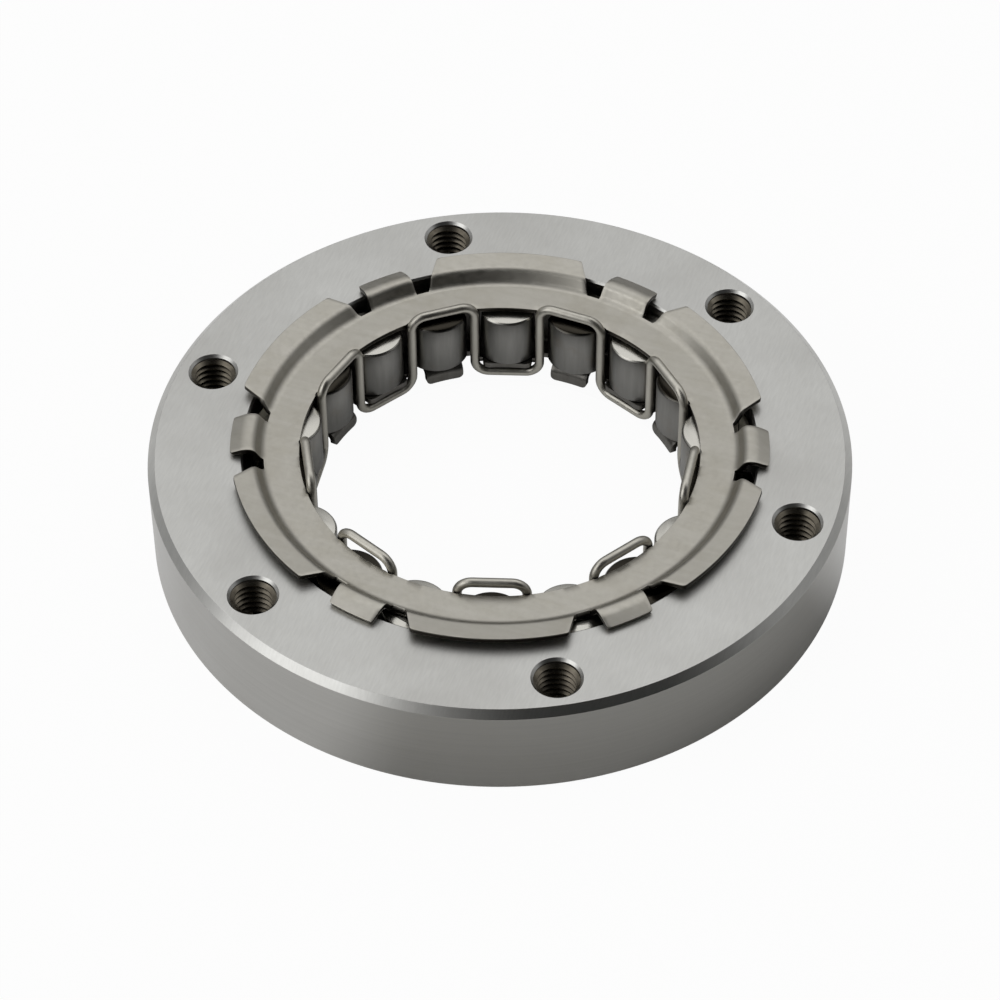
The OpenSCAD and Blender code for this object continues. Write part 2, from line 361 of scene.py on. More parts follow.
def hardenedSpragSteel():
    made = spragFinish
    material, tree, place, shader = metal("hardenedSpragSteel", made["flank"], made["flankRoughness"])
    polish = grain(tree, place, 1300.0, 2.0, 0.0, (1.0, 1.0, 0.1))
    cloud = grain(tree, place, 250.0, 3.0)
    flank = mixColour(tree, blendValue(tree, polish, 0.0, 1.0),
                      hexToLinear(made["flank"]), hexToLinear(made["flankLight"]))
    flank = mixColour(tree, blendValue(tree, cloud, 0.0, 0.4, 0.55, 0.8), flank,
                      hexToLinear(made["stain"]))
    end = blendValue(tree, upward(tree), 0.0, 1.0, 0.3, 0.7)
    # Painted shade: the ends that lie under the top loops of the spring, every other one, are painted
    # near black
    across = addNode(tree, "ShaderNodeSeparateXYZ", {0: place}).outputs
    azimuth = calculate(tree, "ARCTAN2", across[1], across[0])
    swing = calculate(tree, "SUBTRACT", azimuth, math.radians(insert["turn"]))
    loops = calculate(tree, "COSINE", calculate(tree, "MULTIPLY", swing, insert["sprags"] / 2))
    endsWithLoopShade = mixColour(tree, blendValue(tree, loops, 0.0, 1.0, -0.2, 0.4),
                       hexToLinear(made["end"]), hexToLinear(made["shadeUnderLoops"]))
    colour = mixColour(tree, end, flank, endsWithLoopShade)
    rough = blendValue(tree, end, made["flankRoughness"], made["endRoughness"], 0.0, 1.0)
    tree.links.new(colour, shader.inputs["Base Color"])
    tree.links.new(rough, shader.inputs["Roughness"])
    return material


# Cut thread in the same steel, dark brownish, mottled at random towards near black
threadFinish = {"crest": "7D776B", "mottle": "2A251F", "roughness": 0.26}


def mottledThreadSteel():
    made = threadFinish
    material, tree, place, shader = metal("mottledThreadSteel", made["crest"], made["roughness"])
    mottling = grain(tree, place, 700.0, 2.0)
    colour = mixColour(tree, blendValue(tree, mottling, 0.1, 0.6),
                       hexToLinear(made["crest"]), hexToLinear(made["mottle"]))
    tree.links.new(colour, shader.inputs["Base Color"])
    return material


raceSteel = groundRaceSteel()
ringSheet = pressedRingSheet()
cageSteel = drawnCageSteel()
springWire = drawnSpringWire()
spragSteel = hardenedSpragSteel()
threadSteel = mottledThreadSteel()
print("materials made")


# Outer race

race = {
    "outerR": 48.0, "boreR": 35.0, "height": 15.0, "topChamfer": 1.0, "footChamfer": 0.5,
    "boreChamfer": 0.3, "edge": 0.08, "segments": 240,
    "holes": 6, "holeCircle": 84.7, "holeR": 3.1, "sink": 0.36, "holeSides": 64,
    "overshoot": 1.0, "smoothTo": 25.0,
}


def makeRace():
    s = race
    outline = [
        (s["boreR"] + s["boreChamfer"], 0.0),
        (s["outerR"] - s["footChamfer"], 0.0),
        (s["outerR"], s["footChamfer"]),
        (s["outerR"], s["height"] - s["topChamfer"]),
        (s["outerR"] - s["topChamfer"], s["height"]),
        (s["boreR"] + s["boreChamfer"], s["height"]),
        (s["boreR"], s["height"] - s["boreChamfer"]),
        (s["boreR"], s["boreChamfer"]),
    ]
    section = closedRound(outline, s["edge"], 2)
    piece = newPiece("outerRace", lathe("outerRace", section, s["segments"]))
    r = s["holeR"]
    # The drill stands out past both faces, and its countersinks widen at 45 degrees
    wide = r + s["sink"] + s["overshoot"]
    cut = [
        (wide, -s["overshoot"]), (r, s["sink"]), (r, s["height"] - s["sink"]),
        (wide, s["height"] + s["overshoot"]),
    ]
    for i in range(s["holes"]):
        at = polar(s["holeCircle"] / 2, 360 * i / s["holes"], 0.0) / mm
        drill = newPiece("drill", drillMesh(cut, s["holeSides"], at))
        boolean = piece.modifiers.new("Hole", "BOOLEAN")
        boolean.operation = "DIFFERENCE"
        boolean.solver = "EXACT"
        boolean.object = drill
        settle(piece)
        bpy.data.objects.remove(drill)
    smoothUpTo(piece.data, s["smoothTo"])
    even = piece.modifiers.new("Even", "WEIGHTED_NORMAL")
    even.keep_sharp = True
    settle(piece)
    dress(piece, raceSteel, "race", "race_steel", "outer_race")
    return piece


def drillMesh(outline, sides, at):
    # A drill with a countersink at both ends, closed by one face at each end
    points = []
    for p in outline:
        for k in range(sides):
            a = 2 * math.pi * k / sides
            x = at[0] + p[0] * math.cos(a)
            y = at[1] + p[0] * math.sin(a)
            points.append((x * mm, y * mm, p[1] * mm))
    faces = [list(reversed(range(sides)))]
    for i in range(len(outline) - 1):
        for k in range(sides):
            n = (k + 1) % sides
            faces.append((i * sides + k, i * sides + n, (i + 1) * sides + n, (i + 1) * sides + k))
    faces.append(list(range((len(outline) - 1) * sides, len(outline) * sides)))
    return meshFrom("drill", points, faces)


makeRace()
print("outer race made")


# Threads in the six holes, M6 x 1, right-handed: one ridge wound up each hole. The turn puts its top
# end on the side of the hole that the camera can't see

thread = {"pitch": 1.0, "rootR": 3.15, "depth": 0.6, "rootW": 0.94, "crestW": 0.16,
          "clear": 0.12, "stepsPerTurn": 40, "runOut": 0.45, "startSize": 0.05, "turn": 16.0,
          "smoothTo": 30.0}


def makeThreads():
    s = thread
    rise = race["height"] - 2 * s["clear"] - s["pitch"]
    tree, given = newTree("threadRidge", [
        ("Root radius", "NodeSocketFloat", s["rootR"] * mm),
        ("Rise", "NodeSocketFloat", rise * mm),
        ("Turns", "NodeSocketFloat", rise / s["pitch"]),
        ("Steps per turn", "NodeSocketInt", s["stepsPerTurn"]),
        ("Ridge depth", "NodeSocketFloat", s["depth"] * mm),
        ("Root width", "NodeSocketFloat", s["rootW"] * mm),
        ("Crest width", "NodeSocketFloat", s["crestW"] * mm),
        ("Material", "NodeSocketMaterial", None),
    ])
    helix = addNode(tree, "GeometryNodeCurveSpiral", {
        "Resolution": given.outputs["Steps per turn"], "Rotations": given.outputs["Turns"],
        "Start Radius": given.outputs["Root radius"],
        "End Radius": given.outputs["Root radius"],
        "Height": given.outputs["Rise"], "Reverse": True,
    })
    # The ridge grows out of the wall at both ends
    along = addNode(tree, "GeometryNodeSplineParameter").outputs["Factor"]
    fromEnd = calculate(tree, "SUBTRACT", 0.5, calculate(
        tree, "ABSOLUTE", calculate(tree, "SUBTRACT", along, 0.5)))
    grown = addNode(tree, "ShaderNodeMapRange", {
        "Value": fromEnd, "From Max": s["runOut"] * s["pitch"] / rise, "To Min": s["startSize"],
    })
    tapered = addNode(tree, "GeometryNodeSetCurveRadius", {
        0: helix.outputs[0], "Radius": grown.outputs[0],
    })
    upright = addNode(tree, "GeometryNodeSetCurveNormal", {0: tapered.outputs[0]}, mode="Z_UP")
    ridge = addNode(tree, "GeometryNodeCurvePrimitiveQuadrilateral", {
        "Bottom Width": given.outputs["Root width"], "Top Width": given.outputs["Crest width"],
        "Height": given.outputs["Ridge depth"], "Offset": 0.0,
    }, mode="TRAPEZOID")
    inward = addNode(tree, "GeometryNodeTransform", {
        0: ridge.outputs[0], "Rotation": (0.0, 0.0, math.radians(90.0)),
        "Translation": (-s["depth"] / 2 * mm, 0.0, 0.0),
    })
    wound = addNode(tree, "GeometryNodeCurveToMesh", {
        0: upright.outputs[0], "Profile Curve": inward.outputs[0], "Fill Caps": True,
    })
    placed = addNode(tree, "GeometryNodeInstanceOnPoints", {
        "Points": given.outputs["Geometry"], "Instance": wound.outputs[0],
        "Rotation": (0.0, 0.0, math.radians(s["turn"])),
    })
    closeTree(tree, given, placed.outputs[0])
    centres = []
    start = s["clear"] + s["pitch"] / 2
    for i in range(race["holes"]):
        centres.append(polar(race["holeCircle"] / 2, 360 * i / race["holes"], start))
    carrier = meshFrom("boltThreads", centres, [])
    piece = runTree("boltThreads", tree, carrier, {"Material": threadSteel})
    piece.data.set_sharp_from_angle(angle=math.radians(s["smoothTo"]))
    dress(piece, threadSteel, "race", "race_steel")
    return piece


makeThreads()
print("threads wound")


# Pressed sheet: rows run out along the bent line and columns run round the axis

sheet = {"bevelSegments": 2, "bevelFrom": 60.0, "smoothTo": 30.0, "nudge": 1e-6}


def stepsBetween(breaks, longest):
    # The breaks in order, with even steps put in between them
    line = []
    for a, b in zip(breaks, breaks[1:]):
        count = max(1, math.ceil((b - a) / longest))
        line += [a + (b - a) * k / count for k in range(count)]
    return line


def arcCut(radius, along):
    # How much a rounded corner takes off the width at a distance from the end
    return radius - math.sqrt(max(0.0, radius ** 2 - max(0.0, radius - along) ** 2))


def pressedSheet(name, columns, rowCount, pointAt, isSheet, thickness, edge):
    points = []
    index = {}
    faces = []
    total = len(columns)
    for i in range(rowCount - 1):
        for j in range(total):
            if not isSheet(i, j):
                continue
            corners = []
            for row, column in ((i, j), (i + 1, j), (i + 1, (j + 1) % total), (i, (j + 1) % total)):
                key = (row, column)
                if key not in index:
                    index[key] = len(points)
                    points.append(pointAt(row, column))
                corners.append(index[key])
            faces.append(corners)
    piece = newPiece(name, meshFrom(name, points, faces))
    solid = piece.modifiers.new("Thickness", "SOLIDIFY")
    solid.thickness = thickness * mm
    solid.offset = 0.0
    solid.use_even_offset = True
    soften = piece.modifiers.new("Edges", "BEVEL")
    soften.width = edge * mm
    soften.segments = sheet["bevelSegments"]
    soften.limit_method = "ANGLE"
    soften.angle_limit = math.radians(sheet["bevelFrom"])
    settle(piece)
    smoothUpTo(piece.data, sheet["smoothTo"])
    even = piece.modifiers.new("Even", "WEIGHTED_NORMAL")
    even.keep_sharp = True
    return settle(piece)


def flankAngle(r, foldAt, foldW, reach, edgeW):
    # Half the angle that a straight-flanked tab takes up at radius r, in degrees, found step by step
    slope = (edgeW - foldW) / 2 / (reach - foldAt)
    angle = 0.0
    for _ in range(12):
        angle = math.asin((foldW / 2 + slope * (r * math.cos(angle) - foldAt)) / r)
    return math.degrees(angle)


# Retaining ring

ring = {
    "thickness": 0.7, "edge": 0.1, "middleZ": 14.4, "innerR": 27.325, "flatR": 31.6,
    "annulusRows": 5, "notchR": 32.31, "notchStep": 3, "foldR": 32.5, "bendSteps": 7,
    "corner": 0.3, "cornerAt": (1.0, 0.6, 0.25), "legR": 26.65, "scallopR": 0.825,
    "fineAt": (0.0, 20.0, 40.0), "fineHalf": 1.0,
    "wide": {"line": [(32.5, 14.4), (33.7, 16.15), (36.65, 16.4)], "bends": [1.6, 0.8],
             "foldW": 21.7, "edgeW": 20.1},
    "hook": {"line": [(32.5, 14.4), (33.65, 16.2), (34.75, 16.2), (36.6, 15.38)],
             "bends": [1.6, 0.8, 2.6], "foldW": 7.15, "edgeW": 6.7},
    "step": 1.2, "fineStep": 0.33,
}


def tabAngle(tab, r):
    return flankAngle(r, ring["foldR"], tab["foldW"], tab["line"][-1][0], tab["edgeW"])


def tabLine(tab):
    start = (ring["innerR"], ring["middleZ"])
    line = roundedLine([start, *tab["line"]], tab["bends"], ring["bendSteps"])[1:]
    last = line[-1]
    before = line[-2]
    back = (before - last).normalized() * ring["corner"]
    # A tab with fewer bends gets more rows here, so that all tabs have as many
    bends = max(len(ring["wide"]["line"]), len(ring["hook"]["line"])) - 1
    count = bends * (ring["bendSteps"] + 1) + len(ring["cornerAt"]) - len(line)
    even = [before.lerp(last + back, k / count) for k in range(1, count)]
    return [*line[:-1], *even, *(last + back * t for t in ring["cornerAt"]), last]


def makeRing():
    s = ring
    nudge = sheet["nudge"]
    pitch, sector = insert["pitch"], insert["tabPitch"]
    hookHalf = tabAngle(s["hook"], s["notchR"])
    wideHalf = tabAngle(s["wide"], s["notchR"])
    # Columns lie closer in the gaps between tabs and at the scallops round the spring's legs
    wideFrom, wideTo, hookFrom = sector / 2 - wideHalf, sector / 2 + wideHalf, sector - hookHalf
    scallops = [(at - s["fineHalf"], at + s["fineHalf"]) for at in s["fineAt"]]
    gaps = [(hookHalf, wideFrom), (wideTo, hookFrom)]
    breaks = sorted([-hookHalf, hookHalf, wideFrom, wideTo, hookFrom, *sum(scallops, ())])
    local = []
    for a, b in zip(breaks, breaks[1:]):
        fine = (a, b) in gaps or (a, b) in scallops
        local += stepsBetween([a, b], s["fineStep"] if fine else s["step"])
    columns = []
    for k in range(round(360 / sector)):
        columns += [(a, sector * k) for a in local]
    lines = {"hook": tabLine(s["hook"]), "wide": tabLine(s["wide"])}
    annulus = s["annulusRows"]
    rowCount = annulus + len(lines["hook"])
    # The notches end part of the way up the first bend, so the rows below that run all round
    notchRow = annulus + s["notchStep"]

    def tabOf(a):
        # Which tab a column belongs to, and where that tab's middle is
        if a <= hookHalf + nudge:
            return "hook", 0.0, hookHalf
        if wideFrom - nudge <= a <= wideTo + nudge:
            return "wide", sector / 2, wideHalf
        if a >= hookFrom - nudge:
            return "hook", sector, hookHalf
        return None

    def pointAt(row, column):
        a, base = columns[column]
        turn = insert["turn"] + pitch / 2 + base
        if row < annulus:
            off = math.radians((a + pitch / 2) % pitch - pitch / 2)
            inner = s["innerR"]
            reach = s["scallopR"] ** 2 - (s["legR"] * math.sin(off)) ** 2
            if reach > 0:
                inner = max(inner, s["legR"] * math.cos(off) + math.sqrt(reach))
            r = inner + (s["flatR"] - inner) * row / (annulus - 1)
            return polar(r, a + turn, s["middleZ"])
        tab = tabOf(a)
        line = lines[tab[0] if tab else "wide"]
        r, z = line[row - annulus]
        if row <= notchRow:
            return polar(r, a + turn, z)
        kind, middle, half = tab
        left = (line[-1] - line[row - annulus]).length
        trim = arcCut(s["corner"], left)
        spread = (tabAngle(s[kind], r) - math.degrees(trim / r)) / half
        return polar(r, middle + (a - middle) * spread + turn, z)

    def isSheet(row, column):
        if row < notchRow:
            return True
        a = columns[column][0]
        b = columns[(column + 1) % len(columns)][0]
        if b < a:
            b += sector
        first = tabOf(a)
        return first is not None and tabOf(b) == first

    piece = pressedSheet("retainingRing", columns, rowCount, pointAt, isSheet,
                         s["thickness"], s["edge"])
    dress(piece, ringSheet, "insert", "ring_sheet", "retaining_ring")
    return piece


makeRing()
print("retaining ring pressed")


# Cage: a windowed band, a flange, lips bent down from it and tongues between the lips

cage = {
    "thickness": 0.8, "edge": 0.08, "bandR": 31.5, "flangeZ": 4.95, "rimZ": 14.05, "bend": 0.9,
    "bendSteps": 6, "windowW": 8.2, "windowLow": 5.35, "windowHigh": 13.65,
    "flangeR": 28.5, "lipR": 26.2, "lipW": 5.5, "lipLow": 3.05, "lipCorner": 0.8,
    "lipCornerAt": (0.0, 0.06, 0.2, 0.42, 0.7), "tongueR": 25.7, "shelfRow": 6, "shelfHalf": 10.6,
    "step": 1.3,
}


def makeCage():
    s = cage
    windowHalf = math.degrees(math.asin(s["windowW"] / 2 / s["bandR"]))
    lipHalf = math.degrees(math.asin(s["lipW"] / 2 / s["flangeR"]))
    shelfHalf = s["shelfHalf"]
    nudge = sheet["nudge"]
    pitch = insert["pitch"]
    breaks = [-windowHalf, -lipHalf, lipHalf, windowHalf, pitch - shelfHalf, pitch - windowHalf,
              pitch + windowHalf, pitch + shelfHalf, 2 * pitch - windowHalf]
    local = stepsBetween(breaks, s["step"])
    columns = []
    for k in range(insert["sprags"] // 2):
        columns += [(a, 2 * pitch * k) for a in local]
    corners = [(s["lipR"], s["lipLow"]), (s["lipR"], s["flangeZ"]), (s["bandR"], s["flangeZ"]),
               (s["bandR"], s["rimZ"])]
    bends = roundedLine(corners, s["bend"], s["bendSteps"])
    line = [(s["lipR"], s["lipLow"] + s["lipCorner"] * t) for t in s["lipCornerAt"]]
    line += [tuple(p) for p in bends[1:s["bendSteps"] + 2]]
    flangeRow = len(line)
    flangeMiddle = (s["flangeR"] + s["bandR"] - s["bend"]) / 2
    line += [(s["flangeR"], s["flangeZ"]), (flangeMiddle, s["flangeZ"])]
    for p in bends[s["bendSteps"] + 2:-1]:
        if p.y > s["windowLow"] and line[-1][1] < s["windowLow"]:
            windowRow = len(line)
            drop = s["flangeZ"] + s["bend"] - s["windowLow"]
            inset = s["bend"] - math.sqrt(s["bend"] ** 2 - drop ** 2)
            line.append((s["bandR"] - inset, s["windowLow"]))
        line.append(tuple(p))
    line += [(s["bandR"], s["windowHigh"]), (s["bandR"], s["rimZ"])]
    rimRow = len(line) - 2

    def pointAt(row, column):
        a, base = columns[column]
        r, z = line[row]
        if row < flangeRow and a > windowHalf:
            # A flat tongue reaches in over each low loop of the spring
            out = (s["flangeR"] - s["tongueR"]) * row / flangeRow
            r = s["tongueR"] + out
            cut = math.degrees(arcCut(s["lipCorner"], out) / r)
            a = pitch + (a - pitch) * (1 - cut / windowHalf)
            z = s["flangeZ"]
        elif row < flangeRow and abs(a) <= lipHalf + nudge:
            half = s["lipW"] / 2 - arcCut(s["lipCorner"], z - s["lipLow"])
            a *= math.degrees(math.asin(half / r)) / lipHalf
        return polar(r, a + base + insert["turn"], z)

    def isSheet(row, column):
        a = columns[column][0]
        if row < flangeRow:
            half = shelfHalf if row >= s["shelfRow"] else windowHalf
            inLip = -lipHalf - nudge <= a < lipHalf - nudge
            return inLip or pitch - half - nudge <= a < pitch + half - nudge
        across = (a + nudge + pitch / 2) % pitch - pitch / 2
        inWindow = -windowHalf <= across < windowHalf
        return not (inWindow and windowRow <= row < rimRow)

    piece = pressedSheet("spragCage", columns, len(line), pointAt, isSheet,
                         s["thickness"], s["edge"])
    dress(piece, cageSteel, "insert", "cage_sheet", "sprag_cage")
    return piece


makeCage()
print("cage drawn")


# Meander spring: a wire wound up one leg, over a sprag, down the next and under the next sprag

wire = {"diameter": 1.3, "bend": 2.0, "bendSteps": 9, "sides": 18, "legR": 26.65,
        "topZ": 16.1, "bottomZ": 3.3}


def makeSpring():
    s = wire
    tree, given = newTree("meanderWire", [
        ("Wire radius", "NodeSocketFloat", s["diameter"] / 2 * mm),
        ("Bend radius", "NodeSocketFloat", s["bend"] * mm),
        ("Bend steps", "NodeSocketInt", s["bendSteps"]),
        ("Sides", "NodeSocketInt", s["sides"]),
        ("Material", "NodeSocketMaterial", None),
    ])
    path = addNode(tree, "GeometryNodeMeshToCurve", {0: given.outputs["Geometry"]})
    bent = addNode(tree, "GeometryNodeFilletCurve", {
        "Curve": path.outputs[0], "Radius": given.outputs["Bend radius"],
        "Count": given.outputs["Bend steps"], "Limit Radius": True,
    }, mode="POLY")
    section = addNode(tree, "GeometryNodeCurvePrimitiveCircle", {
        "Radius": given.outputs["Wire radius"], "Resolution": given.outputs["Sides"],
    })
    drawn = addNode(tree, "GeometryNodeCurveToMesh", {
        0: bent.outputs[0], "Profile Curve": section.outputs[0],
    })
    closeTree(tree, given, drawn.outputs[0])
    corners = []
    for i in range(insert["sprags"]):
        angle = insert["turn"] + (i + 0.5) * insert["pitch"]
        ends = (s["topZ"], s["bottomZ"]) if i % 2 == 0 else (s["bottomZ"], s["topZ"])
        corners += [polar(s["legR"], angle, z) for z in ends]
    count = len(corners)
    edges = [(k, (k + 1) % count) for k in range(count)]
    carrier = meshFrom("meanderSpring", corners, [], edges)
    piece = runTree("meanderSpring", tree, carrier, {"Material": springWire})
    dress(piece, springWire, "insert", "spring_wire", "meander_spring")
    return piece


makeSpring()
print("spring wound")


# Sprags: the tip and the nose are cams, each given as its centre's radius and side, and its own radius

sprag = {
    "length": 8.0, "bottomZ": 5.5, "flats": 7.5,
    "tip": (30.9227, 1.3, 4.0), "nose": (29.85, 0.0, 4.6),
    "waistOut": 30.4864, "waistSide": 6.1, "waistR": 3.0,
    "chamfer": 0.4, "footChamfer": 0.2, "samples": 96, "shortest": 0.03, "smoothTo": 28.0,
}


def spragReach(angle):
    # How far the section runs from its middle in one direction, and which surface ends it there
    s = sprag
    c, n = math.cos(angle), math.sin(angle)
    far = []
    for cu, cv, r in (s["tip"], s["nose"]):
        u, v = s["waistOut"] - cu, -cv
        b = u * c + v * n
        far.append(-b + math.sqrt(b * b - u * u - v * v + r * r))
    reach, surface = max((far[0], "tip"), (far[1], "nose"))
    if abs(n) > 1e-9 and s["flats"] / 2 / abs(n) < reach:
        reach, surface = s["flats"] / 2 / abs(n), "flat"
    b = -abs(n) * s["waistSide"]
    inside = b * b - s["waistSide"] ** 2 + s["waistR"] ** 2
    if inside > 0 and -b - math.sqrt(inside) < reach:
        reach, surface = -b - math.sqrt(inside), "waist"
    return reach, surface


def spragOutline():
    # Points round the section with one on every corner between two surfaces
    count = sprag["samples"]
    angles = []
    for k in range(count):
        a = 2 * math.pi * k / count
        b = 2 * math.pi * (k + 1) / count
        angles.append(a)
        first = spragReach(a)[1]
        if spragReach(b)[1] != first:
            for _ in range(40):
                m = (a + b) / 2
                if spragReach(m)[1] == first:
                    a = m
                else:
                    b = m
            angles.append(b)
    outline = []
    for a in angles:
        reach = spragReach(a)[0]
        outline.append(Vector((sprag["waistOut"] + reach * math.cos(a), reach * math.sin(a))))
    clean = [outline[0]]
    for p in outline[1:]:
        if (p - clean[-1]).length > sprag["shortest"]:
            clean.append(p)
    return clean


def spragMesh():
    s = sprag
    outline = spragOutline()
    n = len(outline)
    low, high = s["bottomZ"], s["bottomZ"] + s["length"]
    c, f = s["chamfer"], s["footChamfer"]
    layers = [(low, f), (low + f * 0.12, f * 0.62), (low + f * 0.5, f * 0.26), (low + f, 0.0),
              (high - c, 0.0), (high - c * 0.5, c * 0.26), (high - c * 0.12, c * 0.62), (high, c)]
    points = []
    for z, inset in layers:
        for k in range(n):
            along = (outline[(k + 1) % n] - outline[k - 1]).normalized()
            p = outline[k] + Vector((-along.y, along.x)) * inset
            points.append((p.x * mm, p.y * mm, z * mm))
    faces = [list(reversed(range(n)))]
    for i in range(len(layers) - 1):
        for k in range(n):
            t = (k + 1) % n
            faces.append((i * n + k, i * n + t, (i + 1) * n + t, (i + 1) * n + k))
    faces.append(list(range((len(layers) - 1) * n, len(layers) * n)))
    mesh = meshFrom("sprag", points, faces)
    smoothUpTo(mesh, s["smoothTo"])
    return mesh


def makeSprags():
    # One sprag is shaped on +X, and the tree turns a copy of it to each place round the bore
    tree, given = newTree("spragPlace", [
        ("Place", "NodeSocketInt", 0),
        ("Pitch", "NodeSocketFloat", math.radians(insert["pitch"])),
        ("First", "NodeSocketFloat", math.radians(insert["turn"])),
        ("Material", "NodeSocketMaterial", None),
    ])
    steps = addNode(tree, "ShaderNodeMath", {
        0: given.outputs["Place"], 1: given.outputs["Pitch"],
    }, operation="MULTIPLY")
    turn = addNode(tree, "ShaderNodeMath", {
        0: steps.outputs[0], 1: given.outputs["First"],
    }, operation="ADD")
    about = addNode(tree, "ShaderNodeCombineXYZ", {2: turn.outputs[0]})
    copy = addNode(tree, "GeometryNodeGeometryToInstance", {0: given.outputs["Geometry"]})
    turned = addNode(tree, "GeometryNodeRotateInstances", {
        "Instances": copy.outputs[0], "Rotation": about.outputs[0], "Local Space": False,
    })
    real = addNode(tree, "GeometryNodeRealizeInstances", {0: turned.outputs[0]})
    dressed = addNode(tree, "GeometryNodeSetMaterial", {
        0: real.outputs[0], "Material": given.outputs["Material"],
    })
    addNode(tree, "NodeGroupOutput", {0: dressed.outputs[0]})
    for i in range(insert["sprags"]):
        node = f"sprag_{i + 1:02d}"
        piece = runTree(f"sprag{i + 1:02d}", tree, spragMesh(), {"Place": i, "Material": spragSteel})
        dress(piece, spragSteel, node, "sprag_steel", node)


makeSprags()
print("sprags ground")


# Studio: the camera, a pale floor and soft lamps

shot = {
    "azimuth": 20.26, "elevation": 46.684, "roll": -0.41, "target": (3.525, -9.621, 15.0),
    "distance": 508.165, "lens": 136.07,
}


def placeCamera():
    s = shot
    a, e, t = (math.radians(s[k]) for k in ("azimuth", "elevation", "roll"))
    back = Vector((math.sin(a) * math.cos(e), -math.cos(a) * math.cos(e), math.sin(e)))
    level = Vector((math.cos(a), math.sin(a), 0.0))
    rise = back.cross(level)
    right = level * math.cos(t) + rise * math.sin(t)
    up = rise * math.cos(t) - level * math.sin(t)
    data = bpy.data.cameras.new("camera")
    data.lens = s["lens"]
    data.sensor_width = 36.0
    data.clip_start = 0.01
    camera = bpy.data.objects.new("camera", data)
    bpy.context.scene.collection.objects.link(camera)
    where = (Vector(s["target"]) + back * s["distance"]) * mm
    camera.matrix_world = Matrix((
        (right.x, up.x, back.x, where.x), (right.y, up.y, back.y, where.y),
        (right.z, up.z, back.z, where.z), (0.0, 0.0, 0.0, 1.0),
    ))
    bpy.context.scene.camera = camera


# The floor looks white to the camera with a faint shadow. Metal sees it dimmer, dimmest on the camera's
# side and round the edge of the bore. Under the clutch it is painted dark grey, a painted shadow, which
# the camera sees from 33 mm out
floorLook = {
    "colour": "F4F4F2", "cameraWhite": 0.96, "metalWhite": 0.62, "size": 6.0,
    "dim": {"azimuth": 295.0, "distance": 72.0, "inner": 46.0, "outer": 64.0},
    "bore": {"azimuth": 40.0, "distance": 7.0, "inner": 8.0, "outer": 26.0, "middle": 0.38, "rim": 0.1},
    "under": {"seenFrom": 33.0, "mirroredFrom": 27.6, "to": 47.0, "colour": "585856"},
}


def makeFloor():
    s = floorLook
    half = s["size"] / 2
    points = [(-half, -half, 0.0), (half, -half, 0.0), (half, half, 0.0), (-half, half, 0.0)]
    floor = newPiece("studioFloor", meshFrom("studioFloor", points, [(0, 1, 2, 3)]))
    floor.location.z = -0.02 * mm
    material = bpy.data.materials.new("paleFloor")
    material.use_nodes = True
    tree = material.node_tree
    tree.nodes.clear()

    def ramp(value, low, high, first, last):
        return addNode(tree, "ShaderNodeMapRange", {
            "Value": value, "From Min": low * mm, "From Max": high * mm, "To Min": first,
            "To Max": last,
        }, interpolation_type="SMOOTHSTEP").outputs[0]

    ray = addNode(tree, "ShaderNodeLightPath").outputs
    place = addNode(tree, "ShaderNodeTexCoord").outputs["Object"]
    out = addNode(tree, "ShaderNodeVectorMath", {0: place}, operation="LENGTH").outputs["Value"]
    dim, bore, under = s["dim"], s["bore"], s["under"]
    middle = polar(dim["distance"], dim["azimuth"] + shot["azimuth"], 0.0)
    away = addNode(tree, "ShaderNodeVectorMath", {0: place, 1: middle},
                   operation="DISTANCE").outputs["Value"]
    covered = calculate(tree, "LESS_THAN", out, under["to"] * mm)
    clear = calculate(tree, "GREATER_THAN", out, under["to"] * mm)
    outside = calculate(tree, "MULTIPLY", clear, ramp(away, dim["inner"], dim["outer"], 0.0,
                                                      s["metalWhite"]))
    spot = polar(bore["distance"], bore["azimuth"] + shot["azimuth"], 0.0)
    off = addNode(tree, "ShaderNodeVectorMath", {0: place, 1: spot},
                  operation="DISTANCE").outputs["Value"]
    inside = calculate(tree, "MULTIPLY", ramp(off, bore["inner"], bore["outer"], bore["middle"],
                                              bore["rim"]),
                       calculate(tree, "LESS_THAN", out, under["mirroredFrom"] * mm))
    mirrored = calculate(tree, "MAXIMUM", ray["Is Glossy Ray"], ray["Is Transmission Ray"])
    metalSees = calculate(tree, "MULTIPLY", mirrored, calculate(tree, "ADD", outside, inside))
    shown = calculate(tree, "MAXIMUM", clear,
                      calculate(tree, "LESS_THAN", out, under["seenFrom"] * mm))
    cameraSees = calculate(tree, "MULTIPLY", ray["Is Camera Ray"],
                           calculate(tree, "MULTIPLY", shown, s["cameraWhite"]))
    # Painted shadow: the floor between 27.6 mm and 47 mm from the axis is painted dark grey
    paintedShadowMask = calculate(tree, "MULTIPLY", covered,
                       calculate(tree, "GREATER_THAN", out, under["mirroredFrom"] * mm))
    colour = mixColour(tree, paintedShadowMask, hexToLinear(s["colour"]), hexToLinear(under["colour"]))
    paint = addNode(tree, "ShaderNodeBsdfDiffuse", {"Color": colour})
    glow = addNode(tree, "ShaderNodeEmission", {"Color": (1.0, 1.0, 1.0, 1.0), "Strength": 1.0})
    mix = addNode(tree, "ShaderNodeMixShader", {
        0: calculate(tree, "ADD", cameraSees, metalSees), 1: paint.outputs[0], 2: glow.outputs[0],
    })
    addNode(tree, "ShaderNodeOutputMaterial", {0: mix.outputs[0]})
    floor.data.materials.append(material)


